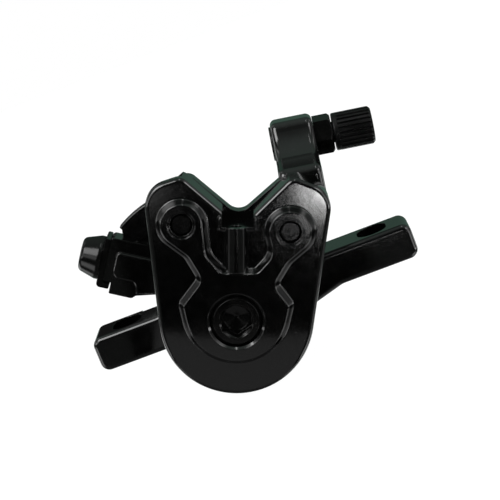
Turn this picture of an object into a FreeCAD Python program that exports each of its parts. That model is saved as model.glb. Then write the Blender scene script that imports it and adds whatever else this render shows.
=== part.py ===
import FreeCAD, Part
import math
import os
import Sketcher
from types import SimpleNamespace
from FreeCAD import Placement, Rotation, Vector

# A cable-pulled disc brake caliper in millimetres. The row frame has its origin
# midway between the two mounting slots, on the face that the ears rest on: X runs
# along the slots, Y along the rotor's axle to the lever's side, Z up out of the seat.
# The cast body is drawn in a frame of its own, rolled about Y round the piston axis:
# u to the right, v up, and depth along the same Y.

sizes = {
    # Mounting ears
    "mountSpacing": 74.0,
    "earLength": 94.8,
    "earThick": 10.0,
    "earWidth": 16.0,
    "earCorner": 2.6,
    "earFlareLeft": 3.4,
    "earFlareRight": 4.4,
    "slotWidth": 8.6,
    "slotLength": 11.6,
    "earRound": 1.4,
    "gussetRise": 5.0,
    "rootReach": 12.0,
    "rootInset": 4.0,
    "rootRound": 5.0,
    # Where the piston axis lies, and how far the body is rolled
    "axisAlong": -5.03,
    "axisAbove": 5.75,
    "rollAngle": 21.0,
    # Depths from the plane of the slots' middle
    "partingPlane": -15.5,
    "plateDepth": 11.7,
    "platformRise": 2.3,
    "platformSlope": 28.0,
    "flangeDepth": 5.5,
    "barrelLength": 15.5,
    "barrelRadius": 17.5,
    "endWall": 2.7,
    "edgeRound": 1.2,
    # Outline of the body
    "heartRadius": 20.8,
    "shoulderLeftU": -24.7,
    "shoulderLeftV": 35.3,
    "apexLeftU": -14.4,
    "apexLeftV": 38.7,
    "notchU": 1.2,
    "notchV": 25.2,
    "apexRightU": 14.8,
    "apexRightV": 38.75,
    "shoulderRightU": 25.7,
    "shoulderRightV": 34.4,
    "shoulderRound": 7.0,
    "apexRound": 3.2,
    "notchRound": 4.0,
    # How far the outboard half keeps back from the inboard half's outline
    "setBackU": 1.0,
    "setBackV": 0.8,
    "leftSetBackV": 5.6,
    "rightSetBackV": 2.2,
    "notchRiseV": 0.9,
    "notchShiftU": 0.6,
    "plateEdge": 4.0,
    "shoulderCut": 7.4,
    "rimRound": 1.2,
    # Raised platform on the front
    "bossLeftU": -14.5,
    "bossLeftV": 26.1,
    "bossRightU": 14.3,
    "bossRightV": 24.2,
    "bossRadius": 6.7,
    "discV": 2.6,
    "discRadius": 14.6,
    "neckLeftU": -10.3,
    "neckLeftV": 11.4,
    "neckRightU": 11.2,
    "neckRightV": 10.0,
    "neckRound": 2.0,
    "cheekU": 15.4,
    "cheekV": 4.6,
    "cheekRound": 2.6,
    "armLeftU": -13.6,
    "armLeftV": 17.0,
    "armRightU": 14.4,
    "armRightV": 15.4,
    "armRound": 4.0,
    "crotchU": 0.9,
    "crotchV": 14.2,
    "crotchHalf": 4.2,
    "crotchRound": 1.4,
    "innerBendHalf": 7.9,
    "innerBendV": 18.4,
    "platformEdge": 0.5,
    "platformFoot": 0.6,
    "windowU": 0.4,
    "windowWidth": 8.4,
    "windowFloorV": 25.4,
    "windowLip": 1.2,
    "windowLipRise": 1.3,
    "lipTopV": 28.6,
    "lipEdge": 0.5,
    "ribRadius": 3.2,
    "ribSink": 0.4,
    "ribBaseV": 13.2,
    # Rotor slot and pads
    "rotorSlot": 5.0,
    "rotorRadius": 70.0,
    "rotorOverlap": 12.5,
    "rotorRoom": 3.0,
    "rotorGap": 2.6,
    "padRadius": 11.4,
    "padGap": 0.3,
    "padRoom": 0.2,
    "frictionInset": 0.5,
    "frictionGroove": 1.4,
    "grooveFloor": 1.0,
    "frictionThick": 2.4,
    "backingThick": 1.8,
    "tabWidth": 6.0,
    "tabReach": 18.5,
    "tabRound": 1.4,
    # Pad adjuster
    "adjusterRadius": 7.0,
    "adjusterChamfer": 0.9,
    "adjusterMouth": 7.7,
    "adjusterSink": 0.5,
    "adjusterRoom": 0.7,
    "adjusterHex": 8.0,
    "adjusterHexTurn": 35.0,
    "adjusterHexDepth": 4.2,
    "socketBevel": 0.5,
    "magnetRadius": 4.0,
    "magnetThick": 1.6,
    "lockRadius": 1.5,
    "lockHex": 1.5,
    "lockHexDepth": 2.0,
    "lockScrewLength": 5.0,
    "lockPlugLength": 3.0,
    # Fits
    "runningGap": 0.04,
    "closeGap": 0.02,
    "softGap": 0.1,
    "through": 1.0,
    # Actuator
    "pistonRadius": 10.0,
    "pistonThick": 4.5,
    "rotorFlangeThick": 3.2,
    "flangeInset": 0.4,
    "rampGap": 0.6,
    "ballRadius": 2.0,
    "ballCircle": 7.3,
    "ballSink": 0.5,
    "rampClearance": 0.25,
    "leverSwing": 35.0,
    "pistonTravel": 1.2,
    "rampRunIn": 20.0,
    "rampRunOut": 20.0,
    "spindleRadius": 5.0,
    "squareAcross": 7.6,
    "squareSink": 0.5,
    "studRadius": 3.0,
    "sealRadius": 7.2,
    "sealThick": 1.5,
    # Lever
    "hubRadius": 12.5,
    "hubCavityRadius": 10.6,
    "hubGap": 1.7,
    "hubCavityDepth": 5.8,
    "hubWall": 3.0,
    "cablePlane": 10.0,
    "clampAngle": 167.2,
    "clampRadius": 38.3,
    "cableGrooveRadius": 0.9,
    "camAlong": 8.7,
    "camAcross": 3.5,
    "camRadius": 31.4,
    "camLip": 0.5,
    "camRound": 0.4,
    "camThick": 4.4,
    "camDepth": 7.0,
    "camStart": 26.0,
    "camSweep": 33.0,
    "webThick": 2.8,
    "armThick": 4.8,
    "armFoot": 4.0,
    "armTaper": 3.4,
    "webFoot": 12.0,
    "webReach": 35.0,
    "blockThick": 8.6,
    "blockTop": 7.4,
    "blockLow": 5.6,
    "armLow": 8.8,
    "blockInner": 20.0,
    "blockStep": 36.0,
    "faceRaise": 1.2,
    "faceHalf": 3.8,
    "faceStep": 29.2,
    "faceEdge": 0.5,
    "leverWallGap": 28.0,
    # Return spring
    "springRadius": 8.4,
    "springWire": 0.75,
    "springPitch": 2.05,
    "springQuarters": 9.0,
    "springLeg": 1.6,
    # Cable clamp
    "clampPlateThick": 1.5,
    "clampPlateWidth": 11.0,
    "clampSeatGap": 0.2,
    "clampLip": 1.4,
    "clampRound": 0.4,
    "pinchRadius": 3.0,
    "pinchFlangeRadius": 6.4,
    "pinchFlangeThick": 1.2,
    "pinchTipRadius": 4.7,
    "pinchHeadLength": 6.3,
    "pinchRound": 1.6,
    "pinchHex": 5.0,
    "pinchHexDepth": 4.0,
    "pinchShank": 13.0,
    # Cable stop
    "stopRadius": 39.1,
    "cableSlope": 11.5,
    "headStart": 18.4,
    "headLength": 12.0,
    "headHalf": 5.8,
    "headTop": 6.4,
    "headRound": 2.6,
    "footRise": 1.5,
    "footRound": 2.6,
    "saddleRise": 3.9,
    "saddleDepth": 3.7,
    "saddleRound": 11.5,
    "postRound": 1.7,
    "postRoot": 6.0,
    "postBackDepth": 6.0,
    "stopBossRadius": 4.9,
    "stopBossLength": 0.5,
    "stemRadius": 3.0,
    "stopWall": 1.6,
    "cableHole": 1.3,
    "nutAcross": 10.0,
    "nutThick": 5.0,
    "nutTurn": 10.0,
    "nutGap": 0.1,
    "nutBevel": 0.9,
    "knobGap": 0.35,
    "knobRadius": 5.4,
    "knobLength": 10.6,
    "knobDome": 0.7,
    "knobEdge": 0.5,
    "knobCollar": 1.4,
    "knobRibs": 24.0,
    "knobGroove": 0.5,
    "ferruleRadius": 2.6,
    "ferruleDepth": 8.0,
    # Screws
    "boltRadius": 3.0,
    "boltHeadRadius": 5.0,
    "boltHeadLength": 6.0,
    "boltHex": 5.0,
    "boltHexDepth": 3.0,
    "screwChamfer": 0.6,
    "boltRecess": 1.4,
    "boltMouth": 3.7,
    "boltMouthDepth": 0.8,
    "boltBossDepth": 4.0,
    "armNutAcross": 10.0,
    "armNutThick": 5.0,
    "washerRadius": 6.5,
    "washerThick": 1.2,
}

document = FreeCAD.newDocument("brake_caliper")
sheet = document.addObject("Spreadsheet::Sheet", "Sizes")
for row, (alias, number) in enumerate(sizes.items(), start=1):
    sheet.set("A%d" % row, alias)
    sheet.set("B%d" % row, str(number))
    sheet.setAlias("B%d" % row, alias)
document.recompute()


class Size:
    # A number that keeps the sheet expression it came from, so that a feature can be bound to it
    def __init__(self, value, text):
        self.value = float(value)
        self.text = text

    def joined(self, sign, left, right, value):
        return Size(value, "(%s %s %s)" % (left.text, sign, right.text))

    def __add__(self, other):
        other = size(other)
        return self.joined("+", self, other, self.value + other.value)

    def __sub__(self, other):
        other = size(other)
        return self.joined("-", self, other, self.value - other.value)

    def __mul__(self, other):
        other = size(other)
        return self.joined("*", self, other, self.value * other.value)

    def __truediv__(self, other):
        other = size(other)
        return self.joined("/", self, other, self.value / other.value)

    def __neg__(self):
        return Size(-self.value, "(-1 * %s)" % self.text)

    def __radd__(self, other):
        return size(other) + self

    def __rsub__(self, other):
        return size(other) - self

    def __rmul__(self, other):
        return size(other) * self


def size(number):
    if isinstance(number, Size):
        return number
    return Size(number, "%g" % number if number >= 0 else "(%g)" % number)


def sine(angle):
    return Size(math.sin(math.radians(angle.value)), "sin(%s)" % angle.text)


def cosine(angle):
    return Size(math.cos(math.radians(angle.value)), "cos(%s)" % angle.text)


d = SimpleNamespace(**{alias: Size(number, "Sizes." + alias) for alias, number in sizes.items()})
ZERO = size(0)
# Half the angle that one side of a hexagon takes
HALF_SIDE = size(30)

# Planes across the depth, from the front of the body to the end of the spindle
rimPlane = d.partingPlane - d.plateDepth
topPlane = rimPlane - d.platformRise
flangeBack = d.partingPlane + d.flangeDepth
barrelEnd = flangeBack + d.barrelLength
cavityFloor = barrelEnd - d.endWall
inboardFace = d.partingPlane - d.rotorGap / 2
outboardFace = d.partingPlane + d.rotorGap / 2
inboardBackingBack = inboardFace - d.frictionThick - d.backingThick
pistonFace = outboardFace + d.frictionThick + d.backingThick
pistonBack = pistonFace + d.pistonThick
flangeFace = pistonBack + d.rotorFlangeThick
cupFace = flangeFace + d.rampGap
ballPlane = flangeFace + d.ballSink
hubFace = barrelEnd + d.hubGap
hubWallInner = hubFace + d.hubCavityDepth
hubBack = hubWallInner + d.hubWall
stopFront = topPlane + d.adjusterSink
ribPlane = rimPlane + d.ribSink
slotFront = d.partingPlane - d.rotorSlot / 2
slotBack = d.partingPlane + d.rotorSlot / 2
clampFace = d.clampRadius + d.clampSeatGap
pinchSeat = clampFace + d.clampPlateThick
nutStart = d.headStart + d.headLength + d.nutGap
pocketRadius = d.padRadius + d.padGap
pocketTab = d.tabWidth / 2 + d.padGap

# Frames of the rolled body, of the lever's clamp end and of the cable stop
bodyFrame = Placement(
    Vector(d.axisAlong.value, 0, d.axisAbove.value), Rotation(Vector(0, 1, 0), d.rollAngle.value)
)
clampFrame = bodyFrame * Placement(Vector(), Rotation(Vector(0, 1, 0), -d.clampAngle.value))
stopFrame = bodyFrame * Placement(Vector(), Rotation(Vector(0, 1, 0), -d.cableSlope.value))
cableLine = stopFrame * Placement(Vector(0, d.cablePlane.value, d.stopRadius.value), Rotation())
clampLine = clampFrame * Placement(Vector(0, d.cablePlane.value, 0), Rotation())
rowFrame = Placement()

pieces = []
cuts = []


def make_body(label, frame, piece=True):
    body = document.addObject("PartDesign::Body", label)
    body.Label = label
    body.Placement = frame
    if piece:
        pieces.append(body)
    return body


def origin_feature(body, role):
    return next(part for part in body.Origin.OriginFeatures if part.Role == role)


def new_sketch(body, role, offset=ZERO, turn=None):
    # A sketch on one of the body's own origin planes, moved along that plane's normal
    offset = size(offset)
    sketch = body.newObject("Sketcher::SketchObject", "outline")
    sketch.AttachmentSupport = [(origin_feature(body, role), "")]
    sketch.MapMode = "FlatFace"
    sketch.setExpression("AttachmentOffset.Base.z", offset.text)
    if turn is not None:
        sketch.AttachmentOffset = Placement(Vector(), Rotation(Vector(0, 1, 0), turn.value))
        sketch.setExpression("AttachmentOffset.Base.z", offset.text)
    return sketch


def across(body, depth):
    # A sketch square to the Y axis at the given depth, drawn in the body's X and Z
    return new_sketch(body, "XZ_Plane", -size(depth))


def bind(sketch, kind, *where):
    *places, amount = where
    index = sketch.addConstraint(Sketcher.Constraint(kind, *places, amount.value))
    sketch.setExpression("Constraints[%d]" % index, amount.text)


def pin_point(sketch, geometry, position, x, y):
    bind(sketch, "DistanceX", -1, 1, geometry, position, x)
    bind(sketch, "DistanceY", -1, 1, geometry, position, y)


def corner(x, y, radius=ZERO):
    # A corner at (x, y), rounded by an arc where a radius is given
    return SimpleNamespace(x=size(x), y=size(y), radius=size(radius), sharp=True, bend=1)


def lobe(x, y, radius, bend=1):
    # A round end about (x, y) that the two neighbouring lines run tangent to
    return SimpleNamespace(x=size(x), y=size(y), radius=size(radius), sharp=False, bend=bend)


def lobe_offset(item):
    return 0.0 if item.sharp else item.radius.value * item.bend


def touching_line(first, second):
    # The straight line from one item of an outline to the next, the inside on its left
    gap = Vector(second.x.value - first.x.value, second.y.value - first.y.value, 0)
    heading = math.atan2(gap.y, gap.x)
    heading -= math.asin((lobe_offset(second) - lobe_offset(first)) / gap.Length)
    normal = Vector(-math.sin(heading), math.cos(heading), 0)
    start = Vector(first.x.value, first.y.value, 0) - normal * lobe_offset(first)
    end = Vector(second.x.value, second.y.value, 0) - normal * lobe_offset(second)
    return SimpleNamespace(start=start, end=end, heading=heading, normal=normal)


def arc_between(centre, radius, start, end, turn):
    # The arc from start to end, always stored counterclockwise
    if turn < 0:
        start, end = end, start
    first = math.atan2(start.y - centre.y, start.x - centre.x)
    last = math.atan2(end.y - centre.y, end.x - centre.x)
    if last <= first:
        last += 2 * math.pi
    circle = Part.Circle(centre, Vector(0, 0, 1), radius)
    return Part.ArcOfCircle(circle, first, last)


def outline(sketch, items):
    # A closed outline through corners and lobes, counterclockwise, held by constraints
    count = len(items)
    lines = [touching_line(items[i], items[(i + 1) % count]) for i in range(count)]
    arcs = []
    for i, item in enumerate(items):
        before, after = lines[i - 1], lines[i]
        turn = math.remainder(after.heading - before.heading, 2 * math.pi)
        if item.sharp and item.radius.value > 0:
            reach = item.radius.value * math.tan(abs(turn) / 2)
            point = Vector(item.x.value, item.y.value, 0)
            before.end = point - Vector(math.cos(before.heading), math.sin(before.heading), 0) * reach
            after.start = point + Vector(math.cos(after.heading), math.sin(after.heading), 0) * reach
            centre = before.end + before.normal * math.copysign(item.radius.value, turn)
            arcs.append((arc_between(centre, item.radius.value, before.end, after.start, turn), turn))
        elif not item.sharp:
            centre = Vector(item.x.value, item.y.value, 0)
            arc = arc_between(centre, item.radius.value, before.end, after.start, item.bend)
            arcs.append((arc, item.bend))
        else:
            arcs.append(None)
    first = sketch.GeometryCount
    for line in lines:
        sketch.addGeometry(Part.LineSegment(line.start, line.end), False)
    for i, item in enumerate(items):
        before, after = first + (i - 1) % count, first + i
        if arcs[i] is None:
            point = sketch.addGeometry(Part.Point(Vector(item.x.value, item.y.value, 0)), True)
            pin_point(sketch, point, 1, item.x, item.y)
            sketch.addConstraint(Sketcher.Constraint("Coincident", before, 2, point, 1))
            sketch.addConstraint(Sketcher.Constraint("Coincident", after, 1, point, 1))
            continue
        arc, turn = arcs[i]
        drawn = sketch.addGeometry(arc, False)
        head, tail = (1, 2) if turn > 0 else (2, 1)
        sketch.addConstraint(Sketcher.Constraint("Tangent", before, 2, drawn, head))
        sketch.addConstraint(Sketcher.Constraint("Tangent", after, 1, drawn, tail))
        bind(sketch, "Radius", drawn, item.radius)
        if item.sharp:
            point = sketch.addGeometry(Part.Point(Vector(item.x.value, item.y.value, 0)), True)
            pin_point(sketch, point, 1, item.x, item.y)
            sketch.addConstraint(Sketcher.Constraint("PointOnObject", point, 1, before))
            sketch.addConstraint(Sketcher.Constraint("PointOnObject", point, 1, after))
        else:
            pin_point(sketch, drawn, 3, item.x, item.y)
    return sketch


def circle(sketch, x, y, radius):
    x, y, radius = size(x), size(y), size(radius)
    drawn = sketch.addGeometry(
        Part.Circle(Vector(x.value, y.value, 0), Vector(0, 0, 1), radius.value), False
    )
    pin_point(sketch, drawn, 3, x, y)
    bind(sketch, "Radius", drawn, radius)
    return sketch


def box_items(left, low, right, high, radius=ZERO):
    return [
        corner(left, low, radius),
        corner(right, low, radius),
        corner(right, high, radius),
        corner(left, high, radius),
    ]


def hexagon(sketch, across_flats, turn, x=ZERO, y=ZERO):
    # A hexagon on a construction circle through its corners
    reach = size(across_flats) / 2 / cosine(HALF_SIDE)
    items = []
    for index in range(6):
        angle = size(turn) + 60 * index
        items.append(corner(size(x) + reach * cosine(angle), size(y) + reach * sine(angle)))
    return outline(sketch, items)


def pad(body, sketch, length, backwards=False, slope=None):
    # Backwards is towards +Y for a sketch drawn square to the Y axis
    feature = body.newObject("PartDesign::Pad", "pad")
    feature.Profile = sketch
    feature.setExpression("Length", size(length).text)
    feature.Reversed = backwards
    if slope is not None:
        feature.setExpression("TaperAngle", (-slope).text)
    return feature


def pocket(body, sketch, length, backwards=False):
    # A pocket runs against its sketch's normal, so backwards is towards -Y here
    feature = body.newObject("PartDesign::Pocket", "pocket")
    feature.Profile = sketch
    feature.setExpression("Length", size(length).text)
    feature.Reversed = backwards
    cuts.append((body, feature))
    return feature


def slot_through(body, sketch, length):
    feature = pocket(body, sketch, length)
    feature.Midplane = True
    return feature


def spin(body, sketch, axis="Y_Axis", kind="Revolution", angle=None):
    feature = body.newObject("PartDesign::" + kind, "turned")
    feature.Profile = sketch
    feature.ReferenceAxis = (origin_feature(body, axis), [""])
    feature.Angle = 360
    if angle is not None:
        feature.setExpression("Angle", angle.text)
    if kind == "Groove":
        cuts.append((body, feature))
    return feature


def profile(body, points, turn=None):
    # A half section on the XY plane, from plain (x, y) or (x, y, radius) points
    return outline(new_sketch(body, "XY_Plane", ZERO, turn), [corner(*point) for point in points])


def turned(body, points, axis="Y_Axis"):
    return spin(body, profile(body, points), axis)


def bored(body, points, axis="Y_Axis"):
    return spin(body, profile(body, points), axis, "Groove")


def ring_points(inner, outer, low, high):
    return [(inner, low), (outer, low), (outer, high), (inner, high)]


def repeat(body, features, axis, count):
    pattern = body.newObject("PartDesign::PolarPattern", "repeat")
    pattern.Originals = features
    pattern.Axis = (origin_feature(body, axis), [""])
    pattern.Angle = 360
    pattern.setExpression("Occurrences", count.text)
    body.Tip = pattern
    return pattern


def round_edges(body, base, test, radius):
    # Fillets the edges of the last feature that pass the test
    document.recompute()
    names = ["Edge%d" % (i + 1) for i, edge in enumerate(base.Shape.Edges) if test(edge)]
    feature = body.newObject("PartDesign::Fillet", "rounded")
    feature.Base = (base, names)
    feature.setExpression("Radius", radius.text)
    return feature


def lies_at(edge, depth, gap=0.01):
    box = edge.BoundBox
    return abs(box.YMin - depth.value) < gap and abs(box.YMax - depth.value) < gap


def heart(set_back, rise):
    # A heart shape with a deep valley. Set back, its shoulders are lower, so that the
    # inboard half hides them, and with a rise the floor of the valley is higher.
    return [
        lobe(0, 0, d.heartRadius),
        corner(
            d.shoulderRightU - d.setBackU * set_back,
            d.shoulderRightV - d.rightSetBackV * set_back,
            d.shoulderRound,
        ),
        corner(d.apexRightU, d.apexRightV, d.apexRound),
        corner(d.notchU - d.notchShiftU * rise, d.notchV + d.notchRiseV * rise, d.notchRound),
        corner(d.apexLeftU + d.setBackU * set_back, d.apexLeftV - d.setBackV * set_back, d.apexRound),
        corner(
            d.shoulderLeftU + d.setBackU * set_back,
            d.shoulderLeftV - d.leftSetBackV * set_back,
            d.shoulderRound,
        ),
    ]


def polar(centre_x, centre_y, radius, angle):
    return centre_x + radius * cosine(angle), centre_y + radius * sine(angle)


def rotor_relief(body, depth):
    # The space that the rotor's rim runs through, open below and to both sides
    tilt = d.rollAngle + 90
    centre_x, centre_y = polar(ZERO, ZERO, -(d.rotorRadius - d.rotorOverlap), tilt)
    return circle(across(body, depth), centre_x, centre_y, d.rotorRadius + d.rotorRoom)


def inboard_housing():
    body = make_body("inboard_housing", bodyFrame)
    shell = pad(body, outline(across(body, d.partingPlane), heart(0, 0)), d.plateDepth)
    shell = round_edges(body, shell, lambda edge: lies_at(edge, rimPlane), d.rimRound)
    platform = [
        lobe(0, d.discV, d.discRadius),
        corner(d.cheekU, d.cheekV, d.cheekRound),
        corner(d.neckRightU, d.neckRightV, d.neckRound),
        corner(d.armRightU, d.armRightV, d.armRound),
        lobe(d.bossRightU, d.bossRightV, d.bossRadius),
        corner(d.crotchU + d.innerBendHalf, d.innerBendV, d.armRound),
        corner(d.crotchU + d.crotchHalf, d.crotchV, d.crotchRound),
        corner(d.crotchU - d.crotchHalf, d.crotchV, d.crotchRound),
        corner(d.crotchU - d.innerBendHalf, d.innerBendV, d.armRound),
        lobe(d.bossLeftU, d.bossLeftV, d.bossRadius),
        corner(d.armLeftU, d.armLeftV, d.armRound),
        corner(d.neckLeftU, d.neckLeftV, d.neckRound),
        corner(-d.cheekU, d.cheekV, d.cheekRound),
    ]
    foot = outline(across(body, rimPlane), platform)
    raised = pad(body, foot, d.platformRise, slope=d.platformSlope)
    raised = round_edges(body, raised, lambda edge: lies_at(edge, topPlane), d.platformEdge)

    def on_foot(edge):
        return lies_at(edge, rimPlane) and foot.Shape.distToShape(edge)[0] < 0.01

    round_edges(body, raised, on_foot, d.platformFoot)
    # A lip round three sides of the window, and the rib that runs down from it
    lip_half = d.windowWidth / 2 + d.windowLip
    lip_floor = d.windowFloorV - d.windowLip
    lip = box_items(d.windowU - lip_half, lip_floor, d.windowU + lip_half, d.lipTopV, d.windowLip)
    lip = pad(body, outline(across(body, rimPlane), lip), d.windowLipRise, slope=d.platformSlope / 2)
    round_edges(body, lip, lambda edge: lies_at(edge, rimPlane - d.windowLipRise), d.lipEdge)
    rib = new_sketch(body, "XY_Plane", d.ribBaseV)
    circle(rib, 0, ribPlane, d.ribRadius)
    pad(body, rib, d.windowFloorV - d.ribBaseV)
    window_left = d.windowU - d.windowWidth / 2
    window = box_items(window_left, d.windowFloorV, window_left + d.windowWidth, d.apexLeftV)
    pocket(body, outline(across(body, topPlane - d.through), window), d.plateDepth * 2)
    # The left shoulder is thin behind its front face
    outside = d.shoulderLeftU - d.apexRound
    above = d.apexLeftV + d.apexRound
    apex = d.apexLeftU + d.setBackU / 2
    shoulder = [
        corner(outside, above),
        corner(outside, d.shoulderLeftV - d.shoulderCut),
        corner(d.shoulderLeftU - d.setBackU, d.shoulderLeftV - d.shoulderCut),
        corner(apex, d.apexLeftV),
        corner(apex, above),
    ]
    pocket(body, outline(across(body, d.partingPlane), shoulder), d.plateDepth - d.plateEdge, True)
    relief = rotor_relief(body, d.partingPlane)
    pocket(body, relief, d.rotorSlot / 2, True)
    depth = slotFront - inboardBackingBack + d.adjusterRoom
    pocket(body, circle(across(body, slotFront), 0, 0, pocketRadius), depth, True)
    tab = box_items(-pocketTab, -d.heartRadius - d.through, pocketTab, 0)
    pocket(body, outline(across(body, slotFront), tab), depth, True)
    bore = d.adjusterRadius + d.runningGap
    mouth = d.adjusterMouth
    bored(
        body,
        [
            (0, topPlane - d.through),
            (mouth, topPlane - d.through),
            (mouth, topPlane),
            (bore, topPlane + mouth - bore),
            (bore, d.partingPlane),
            (0, d.partingPlane),
        ],
    )
    for u, v in ((d.bossLeftU, d.bossLeftV), (d.bossRightU, d.bossRightV)):
        hole = circle(across(body, topPlane - d.through), u, v, d.boltRadius + d.closeGap)
        pocket(body, hole, d.plateDepth * 2)
        mouth_cut = circle(across(body, topPlane + d.boltMouthDepth), u, v, d.boltMouth)
        pocket(body, mouth_cut, d.boltMouthDepth + d.through, True)
    lock_mouth = d.windowFloorV + d.through * 3
    lock = circle(new_sketch(body, "XY_Plane", lock_mouth), 0, ribPlane, d.lockRadius + d.closeGap)
    pocket(body, lock, lock_mouth - d.adjusterRadius + d.through)
    return body


def outboard_casting():
    body = make_body("outboard_shell", bodyFrame, piece=False)
    pad(body, outline(across(body, d.partingPlane), heart(1, 1)), d.flangeDepth, True)
    start = flangeBack - d.through
    round_wall = circle(across(body, start), 0, 0, d.barrelRadius)
    barrel = pad(body, round_wall, d.barrelLength + d.through, True)
    round_edges(body, barrel, lambda edge: lies_at(edge, barrelEnd), d.edgeRound)
    for u, v in ((d.bossLeftU, d.bossLeftV), (d.bossRightU, d.bossRightV)):
        boss = circle(across(body, start), u, v, d.bossRadius)
        pad(body, boss, d.boltBossDepth + d.through, True)
    return body


def ears():
    body = make_body("mounting_ears", rowFrame, piece=False)
    half = d.earLength / 2
    left = d.axisAlong - d.barrelRadius
    right = d.axisAlong + d.barrelRadius
    side = [
        corner(-half, 0, d.earCorner),
        corner(left - d.rootInset, 0, d.rootRound),
        corner(left + d.rootInset, -d.earFlareLeft, 1),
        corner(right - d.rootInset, -d.earFlareRight, 1),
        corner(right + d.rootReach, 0, d.rootRound),
        corner(half, 0, d.earCorner),
        corner(half, d.earThick, d.earCorner),
        corner(right + d.rootReach / 2, d.earThick, d.rootRound),
        corner(right - d.rootInset, d.earThick + d.gussetRise, 1),
        corner(left + d.rootInset, d.earThick + d.gussetRise, 1),
        corner(left - d.rootInset, d.earThick, d.rootRound),
        corner(-half, d.earThick, d.earCorner),
    ]
    bar = pad(body, outline(across(body, -d.earWidth / 2), side), d.earWidth, True)
    at_end = half.value - 0.01
    round_edges(
        body, bar, lambda edge: abs(edge.BoundBox.XMin) > at_end and edge.BoundBox.YLength < 1, d.earRound
    )
    for sign in (-1, 1):
        middle = d.mountSpacing / 2 * sign
        slot = new_sketch(body, "XY_Plane")
        outline(
            slot,
            box_items(
                middle - d.slotWidth / 2, -d.slotLength / 2, middle + d.slotWidth / 2, d.slotLength / 2,
                d.slotWidth / 2 - d.closeGap,
            ),
        )
        slot_through(body, slot, d.earThick * 4)
    return body


def cable_stop():
    # A post that leans back from the flange and carries the threaded head, one extrusion
    body = make_body("cable_stop_post", stopFrame, piece=False)
    top = d.stopRadius + d.headTop
    low = d.stopRadius - d.headHalf
    front = d.cablePlane - d.headHalf
    back = d.cablePlane + d.headHalf
    root = low - d.postRoot
    side = [
        corner(root, d.partingPlane),
        corner(low + d.footRise, d.partingPlane, d.footRound),
        corner(low + d.saddleRise, front - d.saddleDepth, d.saddleRound),
        corner(top, front, d.headRound),
        corner(top, back, d.headRound),
        corner(low, back, d.headRound),
        corner(low, front, d.headRound),
        corner(root, d.partingPlane + d.postBackDepth),
    ]
    sketch = outline(new_sketch(body, "YZ_Plane", d.headStart), [
        corner(item.y, item.x, item.radius) for item in reversed(side)
    ])
    post = pad(body, sketch, d.headLength)

    def on_head(edge):
        box = edge.BoundBox
        return box.XLength < 0.01 and box.ZMin > low.value - 1

    round_edges(body, post, on_head, d.postRound)
    boss = new_sketch(body, "YZ_Plane", d.headStart - d.stopBossLength)
    circle(boss, d.cablePlane, d.stopRadius, d.stopBossRadius)
    pad(body, boss, d.stopBossLength + d.through)
    return body


def cavities():
    # Everything that is hollow inside the outboard half, as one solid to take away
    body = make_body("outboard_hollows", bodyFrame, piece=False)
    bore = d.pistonRadius + d.runningGap
    turned(
        body,
        [
            (0, d.partingPlane - d.through),
            (pocketRadius, d.partingPlane - d.through),
            (pocketRadius, pistonFace + d.padRoom),
            (bore, pistonFace + d.padRoom),
            (bore, cavityFloor),
            (d.spindleRadius + d.softGap, cavityFloor),
            (d.spindleRadius + d.softGap, barrelEnd - d.sealThick),
            (d.sealRadius + d.closeGap, barrelEnd - d.sealThick),
            (d.sealRadius + d.closeGap, barrelEnd + d.through),
            (0, barrelEnd + d.through),
        ],
    )
    tab = box_items(-pocketTab, -d.heartRadius - d.through, pocketTab, 0)
    back = pistonFace + d.padRoom
    pad(body, outline(across(body, back), tab), back - d.partingPlane + d.through)
    relief = rotor_relief(body, slotBack)
    pad(body, relief, d.rotorSlot)
    for u, v in ((d.bossLeftU, d.bossLeftV), (d.bossRightU, d.bossRightV)):
        hole = circle(across(body, d.partingPlane - d.through), u, v, d.boltRadius + d.closeGap)
        pad(body, hole, d.flangeDepth + d.boltBossDepth + d.through * 2, True)
    return body


def lever_room():
    # Turned away above the barrel's end, so that the lever passes the ears
    body = make_body("lever_room", bodyFrame, piece=False)
    turned(body, ring_points(0, d.leverWallGap, barrelEnd, barrelEnd + d.barrelLength))
    return body


def stop_bore():
    body = make_body("cable_stop_bore", cableLine, piece=False)
    end = d.headStart + d.headLength + d.through
    start = d.headStart - d.stopBossLength - d.through
    wall = d.headStart + d.stopWall
    turned(
        body,
        [
            (start, 0),
            (end, 0),
            (end, d.stemRadius + d.runningGap),
            (wall, d.stemRadius + d.runningGap),
            (wall, d.cableHole),
            (start, d.cableHole),
        ],
        "X_Axis",
    )
    return body


def joined(label, kind, links):
    made = document.addObject("Part::" + kind, label)
    made.Label = label
    if kind == "Compound":
        made.Links = links
    else:
        made.Shapes = links
    return made


# The return spring's coil, in the clamp's frame: quarter turns about the spindle
spring_low = barrelEnd + d.springWire + d.padRoom
spring_bend = 2 * d.springWire.value
spring_quarters = int(d.springQuarters.value)


def spring_point(quarter):
    angle = math.radians(90 * quarter)
    radius = d.springRadius.value
    rise = d.springPitch.value * quarter / 4
    return Vector(radius * math.cos(angle), spring_low.value + rise, -radius * math.sin(angle))


def spring_heading(quarter):
    angle = math.radians(90 * quarter)
    radius = d.springRadius.value
    rise = d.springPitch.value / (2 * math.pi)
    return Vector(-radius * math.sin(angle), rise, -radius * math.cos(angle)).normalize()


# Where the two legs stand, one in the casting and one in the lever's hub
spring_start = spring_point(0) - spring_heading(0) * spring_bend
spring_end = spring_point(spring_quarters) + spring_heading(spring_quarters) * spring_bend


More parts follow.
